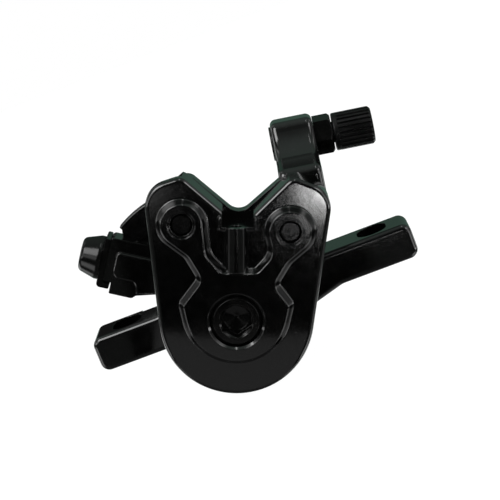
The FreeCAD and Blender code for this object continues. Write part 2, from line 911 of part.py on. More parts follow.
def outboard_housing():
    solid = joined("outboard_solid", "MultiFuse", [outboard_casting(), ears(), cable_stop()])
    spring_hole = document.addObject("Part::Cylinder", "spring_hole")
    spring_hole.setExpression("Radius", (d.springWire + d.softGap).text)
    spring_hole.setExpression("Height", (d.springLeg + d.through * 2).text)
    mouth = (barrelEnd + d.through).value
    spring_hole.Placement = clampFrame * Placement(
        Vector(spring_start.x, mouth, spring_start.z), Rotation(Vector(1, 0, 0), 90)
    )
    tools = joined("outboard_tools", "MultiFuse", [cavities(), lever_room(), stop_bore(), spring_hole])
    casting = document.addObject("Part::Cut", "outboard_housing")
    casting.Label = "outboard_housing"
    casting.Base = solid
    casting.Tool = tools
    pieces.append(casting)
    return casting


def body_bolts():
    # Two socket screws from the outboard side, threaded into the inboard half
    bolts = []
    seat = flangeBack + d.boltBossDepth
    top = seat + d.boltHeadLength
    end = topPlane + d.boltRecess
    for u, v in ((d.bossLeftU, d.bossLeftV), (d.bossRightU, d.bossRightV)):
        place = bodyFrame * Placement(Vector(u.value, 0, v.value), Rotation())
        body = make_body("body_bolt", place, piece=False)
        turned(
            body,
            [
                (0, end),
                (d.boltRadius - d.screwChamfer, end),
                (d.boltRadius, end + d.screwChamfer),
                (d.boltRadius, seat),
                (d.boltHeadRadius, seat),
                (d.boltHeadRadius, top - d.screwChamfer),
                (d.boltHeadRadius - d.screwChamfer, top),
                (0, top),
            ],
        )
        socket = hexagon(across(body, top), d.boltHex, 0)
        pocket(body, socket, d.boltHexDepth, True)
        bolts.append(body)
    group = joined("body_bolts", "Compound", bolts)
    pieces.append(group)


def brake_pad(side, face, sign):
    # One pad: friction block towards the rotor, steel plate with a pull tab behind it
    plate = make_body(side + "_backing_plate", bodyFrame)
    front = face + sign * d.frictionThick
    disc = circle(across(plate, front), 0, 0, d.padRadius)
    pad(plate, disc, d.backingThick, sign > 0)
    tab = box_items(-d.tabWidth / 2, -d.tabReach, d.tabWidth / 2, 0, d.tabRound)
    pad(plate, outline(across(plate, front), tab), d.backingThick, sign > 0)
    friction = make_body(side + "_friction_pad", bodyFrame)
    disc = circle(across(friction, face), 0, 0, d.padRadius - d.frictionInset)
    pad(friction, disc, d.frictionThick, sign > 0)
    half = d.frictionGroove / 2
    groove = outline(across(friction, face), box_items(-half, -d.padRadius, half, d.padRadius))
    pocket(friction, groove, d.frictionThick - d.grooveFloor, sign < 0)


def magnet(side, face, back):
    body = make_body(side + "_magnet", bodyFrame)
    turned(body, ring_points(0, d.magnetRadius, face, back))


def pad_adjuster():
    body = make_body("pad_adjuster_screw", bodyFrame)
    back = inboardBackingBack
    turned(
        body,
        [
            (0, stopFront),
            (d.adjusterRadius - d.adjusterChamfer, stopFront),
            (d.adjusterRadius, stopFront + d.adjusterChamfer),
            (d.adjusterRadius, back),
            (d.magnetRadius + d.closeGap, back),
            (d.magnetRadius + d.closeGap, back - d.magnetThick),
            (0, back - d.magnetThick),
        ],
    )
    socket = hexagon(across(body, stopFront), d.adjusterHex, d.adjusterHexTurn)
    pocket(body, socket, d.adjusterHexDepth)
    drill = d.adjusterHex / 2 - d.screwChamfer
    floor = stopFront + d.adjusterHexDepth
    cone = floor + d.screwChamfer
    bored(body, [(0, floor - d.through), (drill, floor - d.through), (drill, cone), (0, cone + d.through)])
    mouth = d.adjusterHex / 2 / cosine(HALF_SIDE)
    bevel = stopFront + d.socketBevel
    bored(
        body,
        [
            (0, stopFront - d.through),
            (mouth, stopFront - d.through),
            (mouth, stopFront),
            (mouth - d.socketBevel, bevel),
            (0, bevel),
        ],
    )
    magnet("inboard", back - d.magnetThick, back)


def adjuster_lock():
    # A grub screw down the rib presses a soft plug on the adjuster's thread
    place = bodyFrame * Placement(Vector(0, ribPlane.value, 0), Rotation(Vector(1, 0, 0), 90))
    plug = make_body("adjuster_lock_plug", place)
    start = d.adjusterRadius + d.softGap
    turned(plug, ring_points(0, d.lockRadius, start, start + d.lockPlugLength))
    screw = make_body("adjuster_lock_screw", place)
    low = start + d.lockPlugLength
    high = low + d.lockScrewLength
    turned(screw, ring_points(0, d.lockRadius, low, high))
    pocket(screw, hexagon(across(screw, high), d.lockHex, 0), d.lockHexDepth, True)


def piston():
    body = make_body("piston", bodyFrame)
    hole = d.magnetRadius + d.closeGap
    turned(
        body,
        [
            (0, pistonFace + d.magnetThick),
            (hole, pistonFace + d.magnetThick),
            (hole, pistonFace),
            (d.pistonRadius - d.screwChamfer, pistonFace),
            (d.pistonRadius, pistonFace + d.screwChamfer),
            (d.pistonRadius, pistonBack),
            (0, pistonBack),
        ],
    )
    magnet("outboard", pistonFace, pistonFace + d.magnetThick)


def ramp_spindle():
    # The flanged spindle that the lever turns, with a round seat for each ball
    body = make_body("ramp_spindle", clampFrame)
    stud_end = hubBack + d.washerThick + d.armNutThick + d.through
    flange = d.pistonRadius - d.flangeInset
    turned(
        body,
        [
            (0, pistonBack),
            (flange, pistonBack),
            (flange, flangeFace),
            (d.spindleRadius, flangeFace),
            (d.spindleRadius, hubWallInner),
            (d.studRadius, hubWallInner),
            (d.studRadius, stud_end - d.screwChamfer),
            (d.studRadius - d.screwChamfer, stud_end),
            (0, stud_end),
        ],
    )
    half = d.squareAcross / 2
    square = outline(across(body, hubWallInner - d.squareSink), box_items(-half, -half, half, half))
    pad(body, square, d.hubWall, True)
    seat = body.newObject("PartDesign::SubtractiveSphere", "ball_seat")
    seat.setExpression("Radius", (d.ballRadius + d.closeGap).text)
    seat.AttachmentSupport = [(origin_feature(body, "XY_Plane"), "")]
    seat.MapMode = "FlatFace"
    seat.setExpression("AttachmentOffset.Base.x", d.ballCircle.text)
    seat.setExpression("AttachmentOffset.Base.y", ballPlane.text)
    cuts.append((body, seat))
    repeat(body, [seat], "Y_Axis", size(3))


def ramp_balls():
    balls = []
    for index in range(3):
        ball = document.addObject("Part::Sphere", "ramp_ball")
        ball.setExpression("Radius", d.ballRadius.text)
        turn = Placement(Vector(), Rotation(Vector(0, 1, 0), 120 * index))
        ball.Placement = clampFrame * turn * Placement(
            Vector(d.ballCircle.value, ballPlane.value, 0), Rotation()
        )
        balls.append(ball)
    pieces.append(joined("ramp_balls", "Compound", balls))


def ramp_cup():
    # The fixed ring whose three helical tracks push the balls and the spindle inboard
    body = make_body("ramp_cup", clampFrame)
    inner = d.spindleRadius + d.softGap
    turned(body, ring_points(inner, d.pistonRadius, cupFace, cavityFloor - d.softGap))
    lead = d.pistonTravel * 360 / d.leverSwing
    run_in = d.pistonTravel * d.rampRunIn / d.leverSwing
    start = new_sketch(body, "XY_Plane", ZERO, -d.rampRunIn)
    circle(start, d.ballCircle, ballPlane + run_in, d.ballRadius + d.rampClearance)
    track = body.newObject("PartDesign::SubtractiveHelix", "track")
    track.Profile = start
    track.ReferenceAxis = (origin_feature(body, "Y_Axis"), [""])
    track.Mode = "pitch-turns-angle"
    track.setExpression("Pitch", lead.text)
    track.setExpression("Turns", ((d.rampRunIn + d.leverSwing + d.rampRunOut) / 360).text)
    track.Reversed = True
    track.LeftHanded = True
    cuts.append((body, track))
    repeat(body, [track], "Y_Axis", size(3))


def spindle_seal():
    body = make_body("spindle_seal", bodyFrame)
    inner = d.spindleRadius + d.softGap
    turned(body, ring_points(inner, d.sealRadius, barrelEnd - d.sealThick, barrelEnd))


def lever_arm():
    body = make_body("lever_arm", clampFrame)
    turned(body, [(0, hubFace), (d.hubRadius, hubFace), (d.hubRadius, hubBack, d.rimRound), (0, hubBack)])
    arm_front = d.cablePlane - d.armThick / 2
    arm = [
        corner(d.armFoot, -d.blockTop - d.through),
        corner(d.faceStep, -d.blockTop, 1),
        corner(d.faceStep, d.armLow - d.armTaper / 2, 1),
        corner(d.armFoot, d.armLow - d.armTaper),
    ]
    pad(body, outline(across(body, arm_front), arm), d.armThick, True)
    rim_low = d.cablePlane - d.camThick / 2
    rim_high = d.cablePlane + d.camThick / 2
    outer = d.camRadius
    inner = outer - d.camDepth
    groove = d.cableGrooveRadius
    floor = outer - d.camLip - groove
    rim = new_sketch(body, "XY_Plane")
    rim.AttachmentOffset = Placement(
        Vector(d.camAlong.value, 0, d.camAcross.value), Rotation(Vector(0, 1, 0), d.camStart.value)
    )
    rim.setExpression("AttachmentOffset.Base.x", d.camAlong.text)
    rim.setExpression("AttachmentOffset.Base.z", d.camAcross.text)
    outline(
        rim,
        [
            corner(inner, rim_low),
            corner(outer, rim_low, d.camRound),
            corner(outer, d.cablePlane - groove),
            corner(floor, d.cablePlane - groove, groove - d.closeGap),
            corner(floor, d.cablePlane + groove, groove - d.closeGap),
            corner(outer, d.cablePlane + groove),
            corner(outer, rim_high, d.camRound),
            corner(inner, rim_high),
        ],
    )
    cam = body.newObject("PartDesign::Revolution", "cam")
    cam.Profile = rim
    cam.ReferenceAxis = (rim, ["V_Axis"])
    cam.setExpression("Angle", d.camSweep.text)
    first = -d.camStart
    last = -(d.camStart + d.camSweep)
    reach = inner + d.through
    web = [
        corner(0, -d.webFoot / 2),
        corner(*polar(d.camAlong, d.camAcross, reach, last)),
        corner(*polar(d.camAlong, d.camAcross, reach, (first + last) / 2)),
        corner(*polar(d.camAlong, d.camAcross, outer - d.camRound * 2, first)),
        corner(d.webReach, d.through - d.blockTop),
        corner(d.webFoot, 0),
    ]
    pad(body, outline(across(body, d.cablePlane - d.webThick / 2), web), d.webThick, True)
    block = [
        corner(d.blockInner, -d.blockTop, 1),
        corner(clampFace, -d.blockTop, 1),
        corner(clampFace, d.blockLow, 0.6),
        corner(d.blockStep, d.blockLow),
        corner(d.blockStep, d.armLow, 0.4),
        corner(d.faceStep, d.armLow, 1),
        corner(d.faceStep - 1, d.armLow - 1, 1),
        corner(d.blockInner, d.armLow - d.armTaper, 1),
    ]
    block_front = d.cablePlane - d.blockThick / 2
    pad(body, outline(across(body, block_front), block), d.blockThick, True)
    raised = [
        corner(d.blockInner + 1, -d.faceHalf, 1),
        corner(d.blockStep, -d.faceHalf, 1.2),
        corner(d.blockStep, d.faceHalf, 2),
        corner(d.faceStep, d.faceHalf, 1.6),
        corner(d.faceStep - 1, d.armLow - d.armTaper / 2, 0.5),
        corner(d.blockInner + 1, d.armLow - d.armTaper, 1),
    ]
    face = pad(body, outline(across(body, block_front + d.through), raised), d.faceRaise + d.through)
    round_edges(body, face, lambda edge: lies_at(edge, block_front - d.faceRaise), d.faceEdge)
    mouth = hubFace - d.through
    cavity = d.hubCavityRadius
    bored(body, [(0, mouth), (cavity, mouth), (cavity, hubWallInner), (0, hubWallInner)])
    half = d.squareAcross / 2 + d.closeGap
    square = outline(across(body, hubWallInner - d.through), box_items(-half, -half, half, half))
    pocket(body, square, d.hubWall + d.through * 2)
    groove_cut = new_sketch(body, "XY_Plane")
    circle(groove_cut, d.clampRadius, d.cablePlane, groove)
    slot_through(body, groove_cut, d.blockTop * 6)
    screw = new_sketch(body, "YZ_Plane", d.clampRadius + d.pinchRadius)
    circle(screw, d.cablePlane, 0, d.pinchRadius + d.runningGap)
    pocket(body, screw, d.pinchShank + d.pinchRadius + d.through)
    leg = across(body, hubWallInner - d.through)
    circle(leg, spring_end.x, spring_end.z, d.springWire + d.softGap)
    pocket(body, leg, d.through + d.springLeg + d.softGap * 2)


def lever_fasteners():
    washer = make_body("lever_washer", clampFrame)
    hole = d.studRadius + d.closeGap
    seat = hubBack + d.washerThick
    turned(washer, ring_points(hole, d.washerRadius, hubBack, seat))
    nut = make_body("lever_nut", clampFrame)
    pad(nut, hexagon(across(nut, seat), d.armNutAcross, 0), d.armNutThick, True)
    pocket(nut, circle(across(nut, seat - d.through), 0, 0, hole), d.armNutThick + d.through * 2)


def clamp_plate():
    # The square washer that grips the cable, with a lip that stops it turning
    body = make_body("clamp_plate", clampLine)
    half = d.clampPlateWidth / 2
    top = d.clampRound - d.blockTop
    hook = d.blockLow + d.padGap
    inner = d.blockStep + d.padGap
    side = [
        corner(clampFace, top, d.clampRound),
        corner(pinchSeat, top, d.clampRound),
        corner(pinchSeat, hook + d.clampLip, d.clampLip * 0.8),
        corner(inner, hook + d.clampLip, d.clampRound),
        corner(inner, hook),
        corner(clampFace, hook),
    ]
    pad(body, outline(across(body, -half), side), d.clampPlateWidth, True)
    screw = new_sketch(body, "YZ_Plane", pinchSeat + d.through)
    circle(screw, 0, 0, d.pinchRadius + d.runningGap)
    pocket(body, screw, d.clampPlateThick + d.through * 2)


def pinch_bolt():
    body = make_body("pinch_bolt", clampLine)
    rim = pinchSeat + d.pinchFlangeThick
    tip = pinchSeat + d.pinchHeadLength
    end = pinchSeat - d.pinchShank
    turned(
        body,
        [
            (end, 0),
            (tip, 0),
            (tip, d.pinchTipRadius, d.pinchRound),
            (rim, d.pinchFlangeRadius, d.pinchRound),
            (pinchSeat, d.pinchFlangeRadius, d.clampRound),
            (pinchSeat, d.pinchRadius),
            (end + d.screwChamfer, d.pinchRadius),
            (end, d.pinchRadius - d.screwChamfer),
        ],
        "X_Axis",
    )
    socket = hexagon(new_sketch(body, "YZ_Plane", tip), d.pinchHex, 0)
    pocket(body, socket, d.pinchHexDepth)


def barrel_adjuster():
    # A hollow screw with a ribbed knob that takes the end of the cable's housing
    body = make_body("barrel_adjuster", cableLine)
    stem = d.headStart + d.stopWall + d.screwChamfer
    knob = nutStart + d.nutThick + d.knobGap
    end = knob + d.knobLength
    tip = end + d.knobDome
    socket = tip - d.ferruleDepth
    turned(
        body,
        [
            (stem, d.cableHole),
            (stem, d.stemRadius),
            (knob, d.stemRadius),
            (knob, d.knobRadius, d.knobEdge),
            (end, d.knobRadius, d.knobEdge),
            (tip, d.knobRadius - d.knobDome, d.knobEdge / 2),
            (tip, d.ferruleRadius),
            (socket, d.ferruleRadius),
            (socket, d.cableHole),
        ],
        "X_Axis",
    )
    # One flat-sided groove between two ribs
    groove_floor = d.knobRadius - d.knobGroove
    flute = [
        corner(groove_floor, -d.knobGroove / 4),
        corner(d.knobRadius + d.knobGroove, -d.knobGroove * 1.5),
        corner(d.knobRadius + d.knobGroove, d.knobGroove * 1.5),
        corner(groove_floor, d.knobGroove / 4),
    ]
    flute = outline(new_sketch(body, "YZ_Plane", tip + d.through), flute)
    cut = pocket(body, flute, tip - knob + d.through - d.knobCollar)
    repeat(body, [cut], "X_Axis", d.knobRibs)


def lock_nut():
    body = make_body("lock_nut", cableLine)
    end = nutStart + d.nutThick
    pad(body, hexagon(new_sketch(body, "YZ_Plane", nutStart), d.nutAcross, d.nutTurn), d.nutThick)
    hole = new_sketch(body, "YZ_Plane", end + d.through)
    circle(hole, 0, 0, d.stemRadius + d.runningGap)
    pocket(body, hole, d.nutThick + d.through * 2)
    flat = d.nutAcross / 2
    bored(
        body,
        [
            (end - d.nutBevel, flat + d.through),
            (end, flat),
            (end + d.through, flat),
            (end + d.through, flat + d.through),
        ],
        "X_Axis",
    )


def bend_into(start, before, end, after):
    # Two arcs that leave start along before and reach end along after
    chord = end - start
    both = before + after
    a = 2 * (1 - before.dot(after))
    b = 2 * chord.dot(both)
    c = -chord.dot(chord)
    if abs(a) < 1e-9:
        reach = -c / b
    else:
        reach = (-b + math.sqrt(b * b - 4 * a * c)) / (2 * a)
    middle = (start + before * reach + end - after * reach) * 0.5
    heading = (end - after * reach - start - before * reach).normalize()
    return [arc_along(start, before, middle), arc_along(middle, heading, end)]


def arc_along(start, heading, end):
    # The arc from start that sets off along heading and ends at end
    chord = end - start
    normal = heading.cross(chord)
    inward = normal.cross(heading).normalize()
    radius = chord.dot(chord) / (2 * chord.dot(inward))
    centre = start + inward * radius
    halfway = (start + end) * 0.5 - centre
    return Part.Arc(start, centre + halfway.normalize() * radius, end).toShape()


def return_spring():
    low, high = spring_point(0), spring_point(spring_quarters)
    start_heading, end_heading = spring_heading(0), spring_heading(spring_quarters)
    up = Vector(0, 1, 0)
    foot = spring_start - up * spring_bend
    leg_low = foot - up * d.springLeg.value
    knee = spring_end + up * spring_bend
    leg_high = knee + up * d.springLeg.value
    edges = [Part.LineSegment(leg_low, foot).toShape()]
    edges += bend_into(foot, up, low, start_heading)
    for quarter in range(spring_quarters):
        edges += bend_into(
            spring_point(quarter), spring_heading(quarter),
            spring_point(quarter + 1), spring_heading(quarter + 1),
        )
    edges += bend_into(high, end_heading, knee, up)
    edges.append(Part.LineSegment(knee, leg_high).toShape())
    path = Part.Wire(edges)
    section = Part.Wire(Part.Circle(leg_low, up, d.springWire.value).toShape())
    coil = path.makePipeShell([section], True, False)
    feature = document.addObject("Part::Feature", "return_spring")
    feature.Label = "return_spring"
    feature.Shape = coil
    feature.Placement = clampFrame
    pieces.append(feature)
    gap = d.springPitch.value - 2 * d.springWire.value
    print("return spring: %d quarter turns, least gap %.2f mm" % (spring_quarters, gap))


inboard_housing()
outboard_housing()
body_bolts()
brake_pad("inboard", inboardFace, -1)
brake_pad("outboard", outboardFace, 1)
pad_adjuster()
adjuster_lock()
piston()
ramp_spindle()
ramp_balls()
ramp_cup()
spindle_seal()
lever_arm()
lever_fasteners()
return_spring()
clamp_plate()
pinch_bolt()
barrel_adjuster()
lock_nut()
document.recompute()

faults = ["%s %s" % (thing.Label, thing.State) for thing in document.Objects
          if "Invalid" in thing.State or "Error" in thing.State]
for piece in pieces:
    if piece.Shape.isNull() or not piece.Shape.isValid() or not piece.Shape.Solids:
        faults.append("%s has no valid solid" % piece.Label)
for body, feature in cuts:
    if feature.Shape.isNull() or feature.Shape.Volume > feature.BaseFeature.Shape.Volume - 0.001:
        faults.append("%s in %s takes nothing away" % (feature.Name, body.Label))
if faults:
    raise RuntimeError("; ".join(faults))

os.makedirs("parts", exist_ok=True)
for piece in pieces:
    piece.Shape.exportStep("parts/%s.step" % piece.Label)
    print("%-24s %9.1f mm3 in %d solids" % (piece.Label, piece.Shape.Volume, len(piece.Shape.Solids)))
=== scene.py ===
import math
import bpy
from mathutils import Matrix, Vector


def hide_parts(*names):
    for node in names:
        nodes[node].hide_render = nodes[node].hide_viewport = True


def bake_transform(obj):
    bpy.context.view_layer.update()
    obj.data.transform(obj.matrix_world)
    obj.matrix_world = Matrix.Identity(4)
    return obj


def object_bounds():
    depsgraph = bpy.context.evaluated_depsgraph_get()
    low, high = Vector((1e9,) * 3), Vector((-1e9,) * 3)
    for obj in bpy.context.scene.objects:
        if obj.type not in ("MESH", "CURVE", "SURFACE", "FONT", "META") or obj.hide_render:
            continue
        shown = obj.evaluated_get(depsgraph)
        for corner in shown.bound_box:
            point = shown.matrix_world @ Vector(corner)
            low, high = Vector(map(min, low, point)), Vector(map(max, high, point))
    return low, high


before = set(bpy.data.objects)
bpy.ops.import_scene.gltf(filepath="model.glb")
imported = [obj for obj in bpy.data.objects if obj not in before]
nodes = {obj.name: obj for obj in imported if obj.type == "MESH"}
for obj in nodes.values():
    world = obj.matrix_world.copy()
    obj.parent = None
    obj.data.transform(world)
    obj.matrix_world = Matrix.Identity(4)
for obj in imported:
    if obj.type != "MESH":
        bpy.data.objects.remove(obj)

mm = 0.001
perMetre = 1000.0  # millimetres in a metre, for sizes that become scales
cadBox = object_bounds()
scene = bpy.context.scene
scene.view_settings.view_transform = "Standard"
print("frame loaded:", len(nodes), "nodes")

# The body is rolled about the piston's axis. Its own directions are right, up and back.
body = {
    "pistonAxis": Vector((-5.03, 0, 5.75)) * mm,
    "roll": math.radians(21),
}
right = Vector((math.cos(body["roll"]), 0, -math.sin(body["roll"])))
up = Vector((math.sin(body["roll"]), 0, math.cos(body["roll"])))
back = Vector((0, 1, 0))


def bodyPoint(across, above, depth):
    # a place given in the body's own directions, in millimetres
    return body["pistonAxis"] + (right * across + up * above + back * depth) * mm


def axes(x, y, z, place):
    # a matrix whose columns are three directions and a place
    rows = Matrix((x, y, z)).transposed().to_4x4()
    rows.translation = place
    return rows


# Camera
camera = {
    "target": bodyPoint(3.641, 15.021, -8),
    "distance": 450 * mm,
    "height": math.radians(12),
    "lens": 116.93,
    "sensor": 36,
    "nearest": 0.01,
}
towards = up * math.sin(camera["height"]) - back * math.cos(camera["height"])
cameraUp = up * math.cos(camera["height"]) + back * math.sin(camera["height"])
lens = bpy.data.cameras.new("camera")
lens.sensor_width = camera["sensor"]
lens.lens = camera["lens"]
lens.clip_start = camera["nearest"]
eye = bpy.data.objects.new("camera", lens)
standing = camera["target"] + towards * camera["distance"]
eye.matrix_world = axes(right, cameraUp, towards, standing)
scene.collection.objects.link(eye)
scene.camera = eye
print("camera set")


# Small helpers for shader trees
def addNode(tree, kind, inputs=None, **settings):
    node = tree.nodes.new(kind)
    for name, value in settings.items():
        setattr(node, name, value)
    for name, value in (inputs or {}).items():
        if isinstance(value, bpy.types.NodeSocket):
            tree.links.new(value, node.inputs[name])
        else:
            node.inputs[name].default_value = value
    return node


def math2(tree, operation, first, second=0.0):
    return addNode(tree, "ShaderNodeMath", {0: first, 1: second}, operation=operation).outputs[0]


def remap(tree, value, fromLow, fromHigh, toLow, toHigh):
    ranges = {"From Min": fromLow, "From Max": fromHigh, "To Min": toLow, "To Max": toHigh}
    return addNode(tree, "ShaderNodeMapRange", {"Value": value, **ranges}).outputs["Result"]


def shareCurve(tree, value, furthest, points):
    # a share read from a list of (value, share), with straight lines between them
    curve = addNode(tree, "ShaderNodeValToRGB", {"Fac": math2(tree, "DIVIDE", value, furthest)})
    elements = curve.color_ramp.elements
    elements[0].color = (points[0][1],) * 3 + (1,)
    elements[1].color = (points[-1][1],) * 3 + (1,)
    for place, share in points:
        elements.new(place / furthest).color = (share, share, share, 1)
    return curve.outputs["Color"]


def noise(tree, place, scale, detail=2.0, roughness=0.5):
    values = {"Vector": place, "Scale": scale, "Detail": detail, "Roughness": roughness}
    return addNode(tree, "ShaderNodeTexNoise", values).outputs["Fac"]


def makeGroup(name, inputs, outputs):
    group = bpy.data.node_groups.new(name, "ShaderNodeTree")
    for socket, value in inputs.items():
        made = group.interface.new_socket(socket, in_out="INPUT", socket_type="NodeSocketFloat")
        made.default_value = value
    for socket in outputs:
        group.interface.new_socket(socket, in_out="OUTPUT", socket_type="NodeSocketFloat")
    start = group.nodes.new("NodeGroupInput")
    end = group.nodes.new("NodeGroupOutput")
    place = group.nodes.new("ShaderNodeTexCoord").outputs["Object"]
    return group, start.outputs, end.inputs, place


# Effects that several finishes share. Scales are per metre, and the finishes give their sizes
# in millimetres.
skin = {
    "peelShare": 0.35,
    "waveShare": 2.2,
    "pitScale": 260.0,
    "pitEdge": 0.16,
    "rareScale": 170.0,
    "rare": (0.62, 0.7),
    "patchScale": 330.0,
}


def castSkinGroup():
    # paint over a casting: slow waves, orange peel and a few sunk pits
    group, given, result, place = makeGroup(
        "castSkin", {"Peel Size": 1.1, "Wave Size": 9.0, "Pits": 0.3}, ["Height", "Patches"]
    )
    peel = noise(group, place, math2(group, "DIVIDE", perMetre, given["Peel Size"]), 1.5, 0.4)
    waves = noise(group, place, math2(group, "DIVIDE", perMetre, given["Wave Size"]), 1.0, 0.3)
    cells = addNode(group, "ShaderNodeTexVoronoi", {"Vector": place, "Scale": skin["pitScale"]})
    pits = remap(group, cells.outputs["Distance"], 0.0, skin["pitEdge"], -1.0, 0.0)
    rare = remap(group, noise(group, place, skin["rareScale"]), *skin["rare"], 0.0, 1.0)
    pits = math2(group, "MULTIPLY", math2(group, "MULTIPLY", pits, rare), given["Pits"])
    peel = math2(group, "MULTIPLY", peel, skin["peelShare"])
    waves = math2(group, "MULTIPLY", waves, skin["waveShare"])
    height = math2(group, "ADD", math2(group, "ADD", peel, waves), pits)
    group.links.new(height, result["Height"])
    group.links.new(noise(group, place, skin["patchScale"], 4.0, 0.6), result["Patches"])
    return group


turning = {"pitch": 0.3, "unevenScale": 900.0}


def turnedMarksGroup():
    # fine rings that a lathe leaves round an axis along Y
    group, given, result, place = makeGroup(
        "turnedMarks", {"Centre X": 0.0, "Centre Z": 0.0, "Ring Size": 0.12}, ["Height", "Bands"]
    )
    apart = addNode(group, "ShaderNodeSeparateXYZ", {0: place}).outputs
    sideways = math2(group, "SUBTRACT", apart["X"], given["Centre X"])
    upwards = math2(group, "SUBTRACT", apart["Z"], given["Centre Z"])
    flat = addNode(group, "ShaderNodeCombineXYZ", {"X": sideways, "Y": 0.0, "Z": upwards})
    away = addNode(group, "ShaderNodeVectorMath", {0: flat.outputs[0]}, operation="LENGTH")
    fullTurn = 2 * math.pi * perMetre
    rings = math2(group, "MULTIPLY", away.outputs["Value"], fullTurn)
    rings = math2(group, "DIVIDE", rings, given["Ring Size"])
    along = math2(group, "MULTIPLY", apart["Y"], fullTurn / turning["pitch"])
    wave = math2(group, "SINE", math2(group, "ADD", rings, along))
    uneven = noise(group, place, turning["unevenScale"], 3.0, 0.6)
    group.links.new(math2(group, "MULTIPLY", wave, uneven), result["Height"])
    group.links.new(uneven, result["Bands"])
    return group


stainScale = 240.0


def grainGroup():
    # an even fine grain, as of moulded plastic, rubber or plated steel
    group, given, result, place = makeGroup("fineGrain", {"Grain Size": 0.2}, ["Height", "Stains"])
    grain = noise(group, place, math2(group, "DIVIDE", perMetre, given["Grain Size"]), 3.0, 0.6)
    group.links.new(grain, result["Height"])
    group.links.new(noise(group, place, stainScale, 5.0, 0.65), result["Stains"])
    return group


castSkin = castSkinGroup()
turnedMarks = turnedMarksGroup()
fineGrain = grainGroup()


def placeGroup(tree, group, **values):
    node = addNode(tree, "ShaderNodeGroup", node_tree=group)
    for name, value in values.items():
        node.inputs[name].default_value = value
    return node.outputs


coatRoughness = 0.08
edgeSamples = 6


def newFinish(name, settings):
    # a material with its Principled shader and its rounded edges
    material = bpy.data.materials.new(name)
    material.use_nodes = True
    tree = material.node_tree
    shader = tree.nodes["Principled BSDF"]
    shader.inputs["Metallic"].default_value = settings.get("metal", 0.0)
    shader.inputs["Specular IOR Level"].default_value = settings.get("specular", 0.5)
    shader.inputs["Coat Weight"].default_value = settings.get("coat", 0.0)
    shader.inputs["Coat Roughness"].default_value = coatRoughness
    radius = {"Radius": settings["edgeRadius"] * mm}
    edges = addNode(tree, "ShaderNodeBevel", radius, samples=edgeSamples)
    return material, tree, shader, edges.outputs["Normal"]


def finishSurface(tree, shader, settings, height, mask, edges):
    # the mask blends the two colours and the two roughnesses, and the height goes to the normal
    colours = addNode(tree, "ShaderNodeMix", {0: mask}, data_type="RGBA")
    colours.inputs[6].default_value = (*settings["colour"], 1)
    colours.inputs[7].default_value = (*settings["secondColour"], 1)
    tree.links.new(colours.outputs[2], shader.inputs["Base Color"])
    rough = remap(tree, mask, 0.0, 1.0, *settings["roughness"])
    tree.links.new(rough, shader.inputs["Roughness"])
    depth = settings["bump"] * mm
    bump = addNode(tree, "ShaderNodeBump", {"Height": height, "Normal": edges, "Distance": depth})
    tree.links.new(bump.outputs["Normal"], shader.inputs["Normal"])


def castFinish(name, settings):
    material, tree, shader, edges = newFinish(name, settings)
    relief = placeGroup(tree, castSkin, **settings["skin"])
    mask = remap(tree, relief["Patches"], *settings["patches"], 0.0, 1.0)
    finishSurface(tree, shader, settings, relief["Height"], mask, edges)
    return material


def grainFinish(name, settings):
    material, tree, shader, edges = newFinish(name, settings)
    grain = placeGroup(tree, fineGrain, **settings["grain"])
    mask = remap(tree, grain["Stains"], *settings["stains"], 0.0, 1.0)
    finishSurface(tree, shader, settings, grain["Height"], mask, edges)
    return material


def turnedFinish(name, settings):
    material, tree, shader, edges = newFinish(name, settings)
    centre = body["pistonAxis"]
    rings = {"Centre X": centre.x, "Centre Z": centre.z, "Ring Size": settings["ring"]}
    marks = placeGroup(tree, turnedMarks, **rings)
    mask = remap(tree, marks["Bands"], *settings["bands"], 0.0, 1.0)
    finishSurface(tree, shader, settings, marks["Height"], mask, edges)
    return material


def wear(node, material):
    nodes[node].data.materials.clear()
    nodes[node].data.materials.append(material)


# Castings: gloss black paint
casting = {
    "colour": (0.0008, 0.0008, 0.0008),
    "secondColour": (0.0018, 0.0018, 0.0018),
    "roughness": (0.09, 0.15),
    "coat": 0.35,
    "bump": 0.02,
    "edgeRadius": 0.35,
    "skin": {"Peel Size": 1.1, "Wave Size": 9.0, "Pits": 0.6},
    "patches": (0.35, 0.7),
}
glossBlack = castFinish("glossBlackPaint", casting)
for node in ("inboard_housing", "outboard_housing", "lever_arm"):
    wear(node, glossBlack)
print("castings painted")

# Black oxide steel: bolts, nut, clamp and adjuster
blackSteel = {
    "colour": (0.0012, 0.0012, 0.0012),
    "secondColour": (0.0030, 0.0029, 0.0028),
    "roughness": (0.11, 0.2),
    "specular": 0.28,
    "bump": 0.012,
    "edgeRadius": 0.2,
    "grain": {"Grain Size": 0.25},
    "stains": (0.4, 0.7),
}
oxideSteel = grainFinish("blackOxideSteel", blackSteel)
blackFasteners = (
    "body_bolts",
    "pad_adjuster_screw",
    "adjuster_lock_screw",
    "clamp_plate",
    "pinch_bolt",
    "lock_nut",
)
for node in blackFasteners:
    wear(node, oxideSteel)

# Knob: matt moulded black
knob = {
    "colour": (0.0012, 0.0012, 0.0012),
    "secondColour": (0.0030, 0.0030, 0.0030),
    "roughness": (0.30, 0.42),
    "specular": 0.2,
    "bump": 0.02,
    "edgeRadius": 0.12,
    "grain": {"Grain Size": 0.16},
    "stains": (0.4, 0.7),
}
wear("barrel_adjuster", grainFinish("mattBlackKnob", knob))

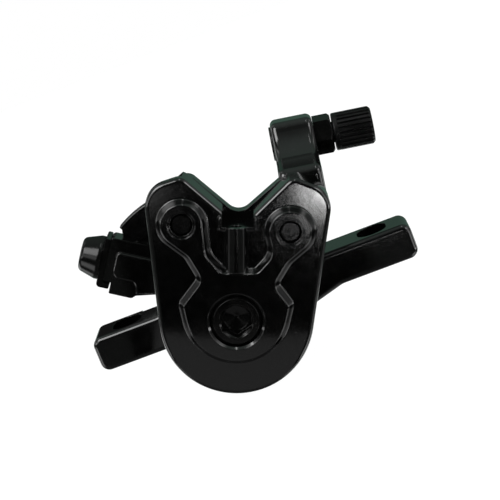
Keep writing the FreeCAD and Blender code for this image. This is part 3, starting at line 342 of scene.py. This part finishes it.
# Zinc-plated steel: washer, nut and spring
zinc = {
    "colour": (0.56, 0.57, 0.58),
    "secondColour": (0.44, 0.44, 0.42),
    "roughness": (0.24, 0.40),
    "metal": 1.0,
    "bump": 0.01,
    "edgeRadius": 0.15,
    "grain": {"Grain Size": 0.22},
    "stains": (0.38, 0.68),
}
zincPlate = grainFinish("zincPlatedSteel", zinc)
for node in ("lever_washer", "lever_nut", "return_spring"):
    wear(node, zincPlate)

# The return spring winds up: its first end keeps to the piston's slide, and its last one turns
# with the lever. Sizes are in millimetres and degrees, depths along the piston's axis.
spring = {
    "wire": 1.4,
    "radius": 8.47,
    "legRadius": 8.53,
    "legEnds": (4.5, 14.22),
    "straightTo": 6.0,
    "coil": (7.5, 11.1),
    "angles": (156.3, -673.9),
    "bend": 16.1,
    "steps": 53,
    "winding": (8.3, 10.3),
    "sides": 6,
    "smoothness": 4,
}


def springPoint(angle, radius, depth):
    # a place round the piston's axis, by its angle there and its depth
    angle = math.radians(angle)
    offset = Vector((math.cos(angle) * radius, depth, math.sin(angle) * radius))
    return body["pistonAxis"] + offset * mm


def windingSpring():
    first, last = spring["angles"]
    low, high = spring["coil"]
    legLow, legHigh = spring["legEnds"]
    bend, steps, legRadius = spring["bend"], spring["steps"], spring["legRadius"]
    places = [springPoint(first, legRadius, depth) for depth in (legLow, spring["straightTo"], low)]
    for step in range(steps + 1):
        share = step / steps
        angle = first - bend + (last - first + 2 * bend) * share
        places.append(springPoint(angle, spring["radius"], low + (high - low) * share))
    places += [springPoint(last, legRadius, depth) for depth in (high, legHigh)]
    path = bpy.data.curves.new("springPath", "CURVE")
    path.dimensions = "3D"
    path.bevel_depth = spring["wire"] / 2 * mm
    path.bevel_resolution = spring["sides"]
    path.use_fill_caps = True
    line = path.splines.new("NURBS")
    line.points.add(len(places) - 1)
    for point, place in zip(line.points, places):
        point.co = (*place, 1)
    line.order_u = 3
    line.use_endpoint_u = True
    line.resolution_u = spring["smoothness"]
    holder = bpy.data.objects.new("springPath", path)
    scene.collection.objects.link(holder)
    graph = bpy.context.evaluated_depsgraph_get()
    mesh = bpy.data.meshes.new_from_object(holder.evaluated_get(graph))
    bpy.data.objects.remove(holder)
    mesh.materials.clear()
    mesh.materials.append(zincPlate)
    for face in mesh.polygons:
        face.use_smooth = True
    piece = bpy.data.objects.new("returnSpringCoil", mesh)
    scene.collection.objects.link(piece)
    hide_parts("return_spring")
    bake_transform(piece)


windingSpring()
print("return spring wound")

# Turned and ground steel: piston, spindle and ball cup
ground = {
    "colour": (0.40, 0.40, 0.41),
    "secondColour": (0.30, 0.29, 0.28),
    "roughness": (0.22, 0.36),
    "metal": 1.0,
    "bump": 0.006,
    "edgeRadius": 0.15,
    "ring": 0.12,
    "bands": (0.35, 0.65),
}
groundSteel = turnedFinish("groundSteel", ground)
for node in ("ramp_spindle", "ramp_cup", "piston"):
    wear(node, groundSteel)

# Balls and magnets
ball = {
    "colour": (0.75, 0.75, 0.76),
    "secondColour": (0.66, 0.66, 0.66),
    "roughness": (0.05, 0.1),
    "metal": 1.0,
    "bump": 0.002,
    "edgeRadius": 0.05,
    "grain": {"Grain Size": 0.3},
    "stains": (0.4, 0.7),
}
wear("ramp_balls", grainFinish("polishedBalls", ball))
magnet = {
    **ball,
    "colour": (0.62, 0.60, 0.56),
    "secondColour": (0.48, 0.46, 0.43),
    "roughness": (0.18, 0.34),
}
nickelPlate = grainFinish("nickelPlate", magnet)
for node in ("inboard_magnet", "outboard_magnet"):
    wear(node, nickelPlate)

# Pads: pressed friction compound on painted plates
friction = {
    "colour": (0.050, 0.040, 0.034),
    "secondColour": (0.17, 0.12, 0.085),
    "roughness": (0.72, 0.9),
    "bump": 0.08,
    "edgeRadius": 0.1,
    "grain": {"Grain Size": 0.45},
    "stains": (0.52, 0.66),
}
compound = grainFinish("frictionCompound", friction)
padPlate = {
    "colour": (0.030, 0.031, 0.033),
    "secondColour": (0.055, 0.054, 0.052),
    "roughness": (0.36, 0.5),
    "metal": 0.4,
    "bump": 0.015,
    "edgeRadius": 0.15,
    "grain": {"Grain Size": 0.3},
    "stains": (0.4, 0.7),
}
plate = grainFinish("padPlatePaint", padPlate)
for side in ("inboard", "outboard"):
    wear(side + "_friction_pad", compound)
    wear(side + "_backing_plate", plate)

# Seal and lock plug
seal = {
    "colour": (0.010, 0.010, 0.010),
    "secondColour": (0.018, 0.018, 0.018),
    "roughness": (0.6, 0.75),
    "bump": 0.02,
    "edgeRadius": 0.1,
    "grain": {"Grain Size": 0.2},
    "stains": (0.4, 0.7),
}
wear("spindle_seal", grainFinish("sealRubber", seal))
plug = {
    **seal,
    "colour": (0.72, 0.71, 0.66),
    "secondColour": (0.62, 0.60, 0.54),
    "roughness": (0.4, 0.5),
}
wear("adjuster_lock_plug", grainFinish("nylonPlug", plug))
print("finishes placed on", len(nodes), "nodes")


# Floor, white where the camera sees it, keeping a little of the shadow
floor = {
    "below": 0.6,
    "size": 3.0,
    "colour": (0.92, 0.92, 0.92),
    "shadowShare": 0.1,
    "white": 1.1,
}
floorHeight = cadBox[0][2] - floor["below"] * mm
bpy.ops.mesh.primitive_plane_add(size=floor["size"], location=(0, 0, floorHeight))
floorSheet = bpy.context.object
floorSheet.name = "studioFloor"
paper = bpy.data.materials.new("palePaper")
paper.use_nodes = True
tree = paper.node_tree
tree.nodes.clear()
rays = addNode(tree, "ShaderNodeLightPath").outputs
matt = addNode(tree, "ShaderNodeBsdfDiffuse", {"Color": (*floor["colour"], 1)})
white = addNode(tree, "ShaderNodeEmission", {"Color": (1, 1, 1, 1), "Strength": floor["white"]})
seen = {0: 1 - floor["shadowShare"], 1: matt.outputs[0], 2: white.outputs[0]}
seen = addNode(tree, "ShaderNodeMixShader", seen)
direct = {0: rays["Is Camera Ray"], 1: matt.outputs[0], 2: seen.outputs[0]}
direct = addNode(tree, "ShaderNodeMixShader", direct)
addNode(tree, "ShaderNodeOutputMaterial", {"Surface": direct.outputs[0]})
floorSheet.visible_glossy = False
floorSheet.data.materials.append(paper)

# World: white where the camera sees it, and for the paint a dark room with pale walls at its
# sides, because the photograph's paint mirrors a dark room. Heights and sides run from -1 to 1.
room = {
    "below": (0.14, 0.14, 0.14),
    "above": (0.36, 0.42, 0.39),
    "levels": ((0.47, 0.06), (0.52, 0.03), (0.76, 0.04), (0.86, 0.2)),
    "tint": (0.92, 1.0, 0.95),
    "backdrop": (0.11, 0.21, 0.16),
    "backdropFrom": (0.1, 1.0),
    "backdropShare": 0.5,
}
sideWalls = {
    "level": 2.2,
    "softness": 0.2,
    "middle": (0.14, 0.32),
    "edge": 0.4,
    "gapHeight": -0.2,
    "gap": (0.1, 0.3),
    "gapEdge": 0.9,
    "lowBand": ((1.02, 1.0), (1.2, 0.8), (1.35, 0.55), (1.5, 0.55), (1.6, 1.0)),
    "rear": (0.2, 0.4),
    "rearShare": 0.15,
    "rearHeight": (0.0, 0.25),
}
rearGlow = {"level": 1.8, "height": (-0.12, -0.4), "behind": (0.7, 0.9)}
world = bpy.data.worlds.new("studio")
scene.world = world
world.use_nodes = True
tree = world.node_tree
tree.nodes.clear()
rays = addNode(tree, "ShaderNodeLightPath").outputs
direction = addNode(tree, "ShaderNodeTexCoord").outputs["Generated"]


def shareAlong(way):
    # how far a reflection points along one direction
    shares = {0: direction, 1: way}
    node = addNode(tree, "ShaderNodeVectorMath", shares, operation="DOT_PRODUCT")
    return node.outputs["Value"]


height = shareAlong(up)
across = shareAlong(right)
behind = shareAlong(back)
ceiling = addNode(tree, "ShaderNodeValToRGB", {"Fac": remap(tree, height, -1.0, 1.0, 0.0, 1.0)})
stops = ceiling.color_ramp.elements
stops[0].color = (*room["below"], 1)
stops[1].color = (*room["above"], 1)
for position, level in room["levels"]:
    stops.new(position).color = (*(level * part for part in room["tint"]), 1)
backdropShare = remap(tree, behind, *room["backdropFrom"], 0.0, room["backdropShare"])
backdrop = {0: backdropShare, 6: ceiling.outputs["Color"], 7: (*room["backdrop"], 1)}
backdrop = addNode(tree, "ShaderNodeMix", backdrop, data_type="RGBA")
# The walls stand back in a gap a little under the horizon, where upright edges mirror them
fromGap = math2(tree, "ABSOLUTE", math2(tree, "SUBTRACT", height, sideWalls["gapHeight"]))
edge = remap(tree, fromGap, *sideWalls["gap"], sideWalls["gapEdge"], sideWalls["edge"])
sideways = math2(tree, "SUBTRACT", math2(tree, "ABSOLUTE", across), edge)
sideways = remap(tree, sideways, 0.0, sideWalls["softness"], 0.0, sideWalls["level"])
ahead = remap(tree, math2(tree, "ABSOLUTE", behind), *sideWalls["middle"], 0.0, 1.0)
walls = math2(tree, "MULTIPLY", sideways, ahead)
# Low above the horizon they are dimmer, so that a level top seen along it doesn't turn white.
# The band's heights are given plus one, from 0 to 2.
lowBand = shareCurve(tree, math2(tree, "ADD", height, 1.0), 2.0, sideWalls["lowBand"])
walls = math2(tree, "MULTIPLY", walls, lowBand)
# Above the horizon and behind the object they fade, so that the platform's steep walls stay dark
rearward = remap(tree, behind, *sideWalls["rear"], 0.0, 1 - sideWalls["rearShare"])
upwards = remap(tree, height, *sideWalls["rearHeight"], 0.0, 1.0)
rearward = math2(tree, "MULTIPLY", rearward, upwards)
walls = math2(tree, "MULTIPLY", walls, math2(tree, "SUBTRACT", 1.0, rearward))
lowered = remap(tree, height, *rearGlow["height"], 0.0, rearGlow["level"])
glow = math2(tree, "MULTIPLY", lowered, remap(tree, behind, *rearGlow["behind"], 0.0, 1.0))
walls = math2(tree, "ADD", walls, glow)
walled = {0: 1.0, 6: backdrop.outputs[2], 7: walls}
walled = addNode(tree, "ShaderNodeMix", walled, data_type="RGBA", blend_type="ADD")
mirrored = addNode(tree, "ShaderNodeBackground", {"Color": walled.outputs[2], "Strength": 1.0})
clear = addNode(tree, "ShaderNodeBackground", {"Color": (1, 1, 1, 1), "Strength": 1.0})
sky = {0: rays["Is Camera Ray"], 1: mirrored.outputs[0], 2: clear.outputs[0]}
sky = addNode(tree, "ShaderNodeMixShader", sky)
addNode(tree, "ShaderNodeOutputWorld", {"Surface": sky.outputs[0]})


# Lights: soft boxes that draw the edges. Place, aim and size are in millimetres, in the body's
# own directions, and the power is in watts.
def softLight(name, place, aim, size, power):
    lamp = bpy.data.lights.new(name, "AREA")
    lamp.shape = "RECTANGLE"
    lamp.size, lamp.size_y = size[0] * mm, size[1] * mm
    lamp.energy = power
    holder = bpy.data.objects.new(name, lamp)
    start = bodyPoint(*place)
    turned = (start - bodyPoint(*aim)).to_track_quat("Z", "Y").to_matrix().to_4x4()
    holder.matrix_world = Matrix.Translation(start) @ turned
    scene.collection.objects.link(holder)


lights = {
    "overhead": ((-4, 430, -90), (-4, 0, -90), (200, 24), 0.08),
    "postRight": ((400, 5, -150), (30, 5, -20), (200, 50), 0.14),
    "postLeft": ((-400, 5, -150), (20, 5, -20), (200, 50), 0.08),
    "upperLeft": ((-300, 330, -300), (0, 20, -20), (300, 300), 1.5),
    "upperRight": ((290, 350, -290), (0, 20, -20), (200, 90), 0.18),
}
for name, (place, aim, size, power) in lights.items():
    softLight(name, place, aim, size, power)


# Cards that only the paint's reflections show. A pale one lies in front, whose far edge is
# the horizon in the flat face, and past it a dark one whose far corners turn pale. One more
# stands behind the left ear, whose top is darker than the right one's. Outlines are in
# millimetres, across and then in depth, or across and then upwards for an upright card.
def glossCard(name, above, outline, level, corners=None, upright=0):
    sheet = bpy.data.meshes.new(name)
    places = [(x, y, 0) for x, y in outline]
    sheet.from_pydata(places, [], [tuple(range(len(places)))])
    card = bpy.data.objects.new(name, sheet)
    if upright:
        card.matrix_world = axes(right * mm, up * mm, -back * mm, bodyPoint(0, above, upright))
    else:
        card.matrix_world = axes(right * mm, back * mm, up * mm, bodyPoint(0, above, 0))
    scene.collection.objects.link(card)
    glow = bpy.data.materials.new(name)
    glow.use_nodes = True
    tree = glow.node_tree
    tree.nodes.clear()
    strength = level
    if corners:
        place = addNode(tree, "ShaderNodeTexCoord").outputs["Object"]
        apart = addNode(tree, "ShaderNodeSeparateXYZ", {0: place}).outputs
        aside = math2(tree, "DIVIDE", apart["X"], math2(tree, "MULTIPLY", apart["Y"], -1.0))
        leftSide = remap(tree, aside, *corners["left"], 0.0, corners["leftShare"])
        rightSide = math2(tree, "POWER", remap(tree, aside, *corners["right"], 0.0, 1.0), 2.0)
        beyond = shareCurve(tree, apart["X"], corners["widest"], corners["beyond"])
        rightSide = math2(tree, "MULTIPLY", rightSide, beyond)
        away = math2(tree, "MULTIPLY", apart["Y"], -1.0)
        away = shareCurve(tree, away, corners["furthest"], corners["away"])
        strength = math2(tree, "MULTIPLY", math2(tree, "ADD", leftSide, rightSide), away)
        strength = math2(tree, "MULTIPLY", strength, level)
    lit = addNode(tree, "ShaderNodeEmission", {"Strength": strength})
    addNode(tree, "ShaderNodeOutputMaterial", {"Surface": lit.outputs[0]})
    sheet.materials.append(glow)
    card.visible_camera = False
    card.visible_diffuse = False
    card.visible_shadow = False


paleCard = {
    "above": -24,
    "outline": [(-25, -33), (22, -33), (24, -104), (-28, -104)],
    "level": 0.28,
}
# Left and right are slopes seen from the piston's axis, across to depth. Beyond and away give
# the light's share at a place across and at a distance in front.
darkRoom = {
    "above": -25,
    "outline": [(-30, -33), (30, -33), (90, -450), (120, -900), (-120, -900), (-90, -450)],
    "level": 100.0,
    "corners": {
        "left": (-0.085, -0.14),
        "leftShare": 0.02,
        "right": (0.062, 0.125),
        "widest": 100,
        "beyond": ((42, 1.0), (46, 0.03), (56, 0.03), (66, 0.2)),
        "furthest": 1000,
        "away": (
            (275, 0.0), (300, 0.02), (322, 0.09), (345, 0.3), (360, 0.9),
            (385, 1.0), (420, 0.1), (510, 0.03), (560, 0.02), (800, 0.06),
        ),
    },
}
leftBackdrop = {
    "above": 0,
    "outline": [(-130, -30), (-42, -30), (-42, 60), (-130, 60)],
    "level": 0.015,
    "upright": 200,
}
glossCard("paleCard", **paleCard)
glossCard("darkRoom", **darkRoom)
glossCard("leftBackdrop", **leftBackdrop)
print("floor, room and lights set")
